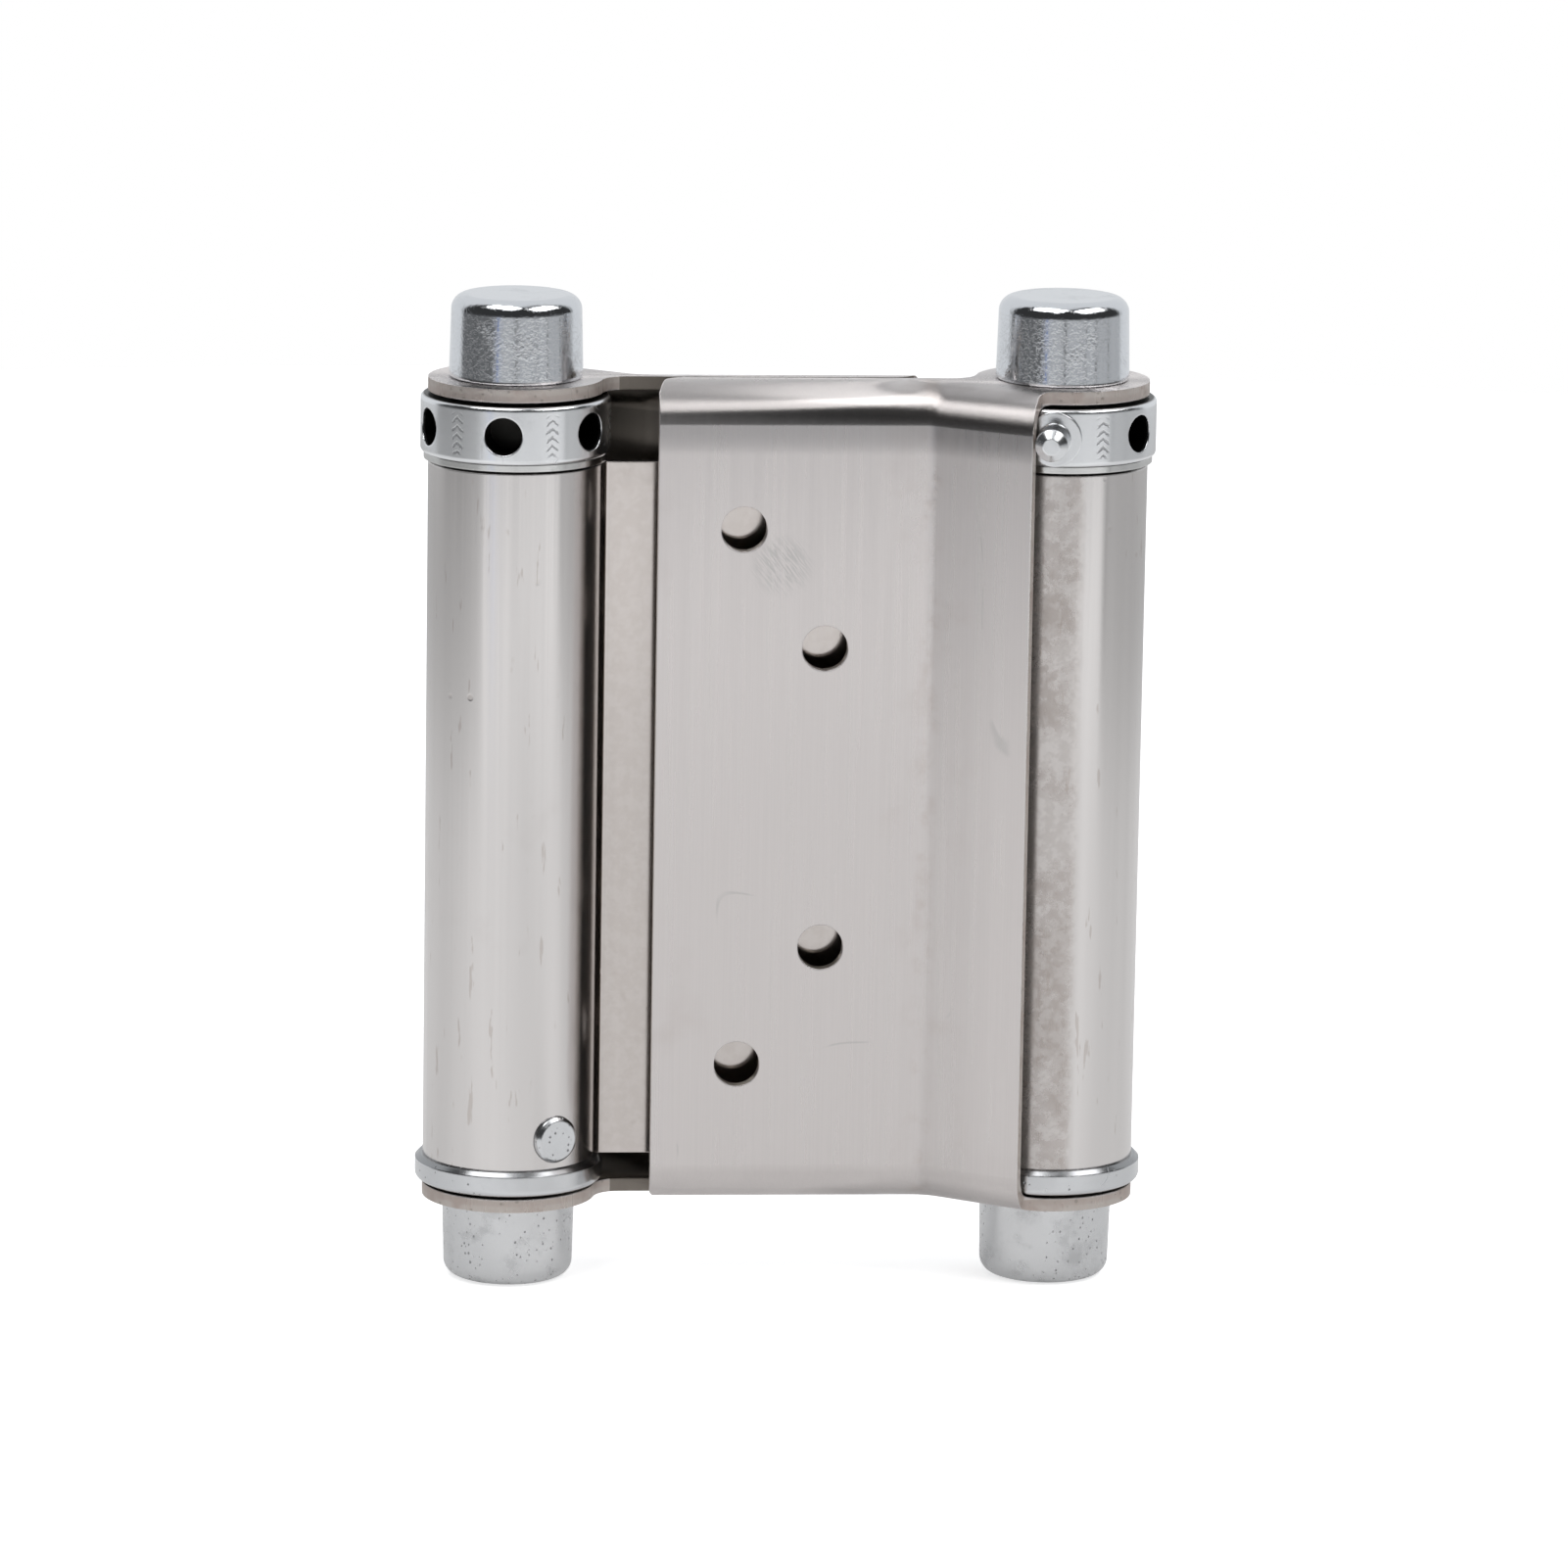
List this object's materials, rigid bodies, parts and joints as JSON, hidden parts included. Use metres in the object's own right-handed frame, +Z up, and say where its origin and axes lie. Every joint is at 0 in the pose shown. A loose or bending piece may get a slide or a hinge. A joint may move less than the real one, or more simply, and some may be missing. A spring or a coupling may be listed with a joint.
{
  "type": "double action spring hinge",
  "caption": "Double action spring hinge for a swing door: a rolled middle leaf joins sprung barrels, each with a screw-on leaf, winding collar and capped spindle.",
  "frame": {"origin": "half way between the pin axes, at the middle of the leaves' height", "axes": "+Z up the barrels, winding collars at the top; +X from the jamb barrel to the door barrel; the door leaf faces -Y"},
  "size_m": [0.066, 0.0258, 0.09],
  "materials": {
    "brushed_stainless": "satin stainless sheet with a fine grain",
    "chrome_plate": "bright chrome plating over turned steel",
    "bright_steel": "bright drawn steel",
    "spring_steel": "oiled dark spring steel"
  },
  "bodies": {
    "jamb_leaf": {"jamb_leaf": "brushed_stainless", "left_spindle": "bright_steel", "left_top_cap": "chrome_plate", "left_bottom_cap": "chrome_plate"},
    "middle_leaf": {"middle_leaf": "brushed_stainless", "left_bottom_plug": "chrome_plate", "right_bottom_plug": "chrome_plate", "left_plug_pin": "chrome_plate", "right_plug_pin": "chrome_plate", "left_spring": "spring_steel", "right_spring": "spring_steel"},
    "door_leaf": {"door_leaf": "brushed_stainless", "right_spindle": "bright_steel", "right_top_cap": "chrome_plate", "right_bottom_cap": "chrome_plate"},
    "left_collar": {"left_tension_collar": "chrome_plate", "left_collar_washer": "bright_steel", "left_tension_pin": "chrome_plate"},
    "right_collar": {"right_tension_collar": "chrome_plate", "right_collar_washer": "bright_steel", "right_tension_pin": "chrome_plate"}
  },
  "joints": [
    {"name": "jamb_hinge", "type": "hinge", "parent": "jamb_leaf", "child": "middle_leaf", "pos_m": [-0.0245, 0, 0], "axis": [0, 0, -1], "range_deg": [0, 180], "stiffness_Nm_per_rad": 0.2, "springref_deg": -119.98, "deforming": ["left_spring"]},
    {"name": "door_hinge", "type": "hinge", "parent": "middle_leaf", "child": "door_leaf", "pos_m": [0.0245, 0, 0], "axis": [0, 0, 1], "range_deg": [0, 180], "stiffness_Nm_per_rad": 0.2, "springref_deg": -119.98, "deforming": ["right_spring"]},
    {"name": "left_tension", "type": "hinge", "parent": "jamb_leaf", "child": "left_collar", "pos_m": [-0.0245, 0, 0], "axis": [0, 0, 1], "range_deg": [0, 180], "stiffness_Nm_per_rad": 0.2, "deforming": ["left_spring"]},
    {"name": "right_tension", "type": "hinge", "parent": "door_leaf", "child": "right_collar", "pos_m": [0.0245, 0, 0], "axis": [0, 0, 1], "range_deg": [0, 180], "stiffness_Nm_per_rad": 0.2, "deforming": ["right_spring"]}
  ]
}
